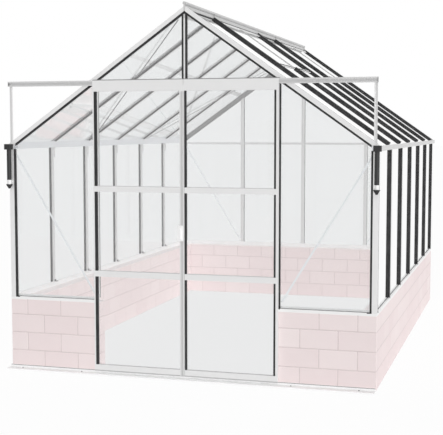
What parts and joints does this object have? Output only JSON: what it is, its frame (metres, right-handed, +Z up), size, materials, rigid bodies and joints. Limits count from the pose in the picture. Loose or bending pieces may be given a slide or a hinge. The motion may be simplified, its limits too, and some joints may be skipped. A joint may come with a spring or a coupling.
{
  "type": "glass greenhouse",
  "caption": "Free-standing glazed greenhouse on a low block wall, with an aluminium bar frame, a pitched roof with ridge vents and a pair of sliding doors hung from an overhead rail.",
  "frame": {"origin": "on the ground, under the middle of the part's box", "axes": "+Z up, -Y out of the door gable, +X to the right when facing the doors"},
  "size_m": [3.044, 4.572, 2.9261],
  "materials": {
    "wall_block": "matte",
    "frame_aluminium": "satin",
    "rail_aluminium": "satin",
    "glazing_strip": "matte",
    "glass": "gloss",
    "black_plastic": "satin",
    "white_plastic": "satin",
    "roller_plastic": "satin"
  },
  "bodies": {
    "root": {"back_cross_bars": "frame_aluminium", "back_gable_glass": "glass", "back_rafters": "frame_aluminium", "back_wall": "wall_block", "back_wall_bars": "frame_aluminium", "bottom_track": "rail_aluminium", "corner_posts": "frame_aluminium", "door_lintel": "frame_aluminium", "door_mullion": "frame_aluminium", "door_posts": "frame_aluminium", "door_rail": "rail_aluminium", "downpipe_collars": "white_plastic", "downpipes": "black_plastic", "front_gable_glass": "glass", "front_left_wall": "wall_block", "front_rafters": "frame_aluminium", "front_right_wall": "wall_block", "gable_strips": "glazing_strip", "left_eave_gutter": "frame_aluminium", "left_roof_glass": "glass", "left_wall": "wall_block", "left_wall_glass": "glass", "rail_struts": "rail_aluminium", "ridge_beam": "frame_aluminium", "right_eave_gutter": "frame_aluminium", "right_roof_glass": "glass", "right_wall": "wall_block", "right_wall_glass": "glass", "roof_bars": "frame_aluminium", "roof_strips": "glazing_strip", "roof_vent_frames": "frame_aluminium", "roof_vent_glass": "glass", "side_wall_bars": "frame_aluminium", "side_wall_strips": "glazing_strip", "wall_sills": "frame_aluminium", "wind_braces": "rail_aluminium"},
    "left_door": {"left_door_frame": "frame_aluminium", "left_door_glass": "glass", "left_door_rollers": "roller_plastic", "left_door_strips": "glazing_strip", "door_handle": "white_plastic"},
    "right_door": {"right_door_frame": "frame_aluminium", "right_door_glass": "glass", "right_door_rollers": "roller_plastic", "right_door_strips": "glazing_strip"}
  },
  "joints": [
    {"name": "left_door_slide", "type": "slide", "parent": "root", "child": "left_door", "axis": [-1, 0, 0], "range_m": [0, 0.7]},
    {"name": "right_door_slide", "type": "slide", "parent": "root", "child": "right_door", "axis": [1, 0, 0], "range_m": [0, 0.7]}
  ]
}
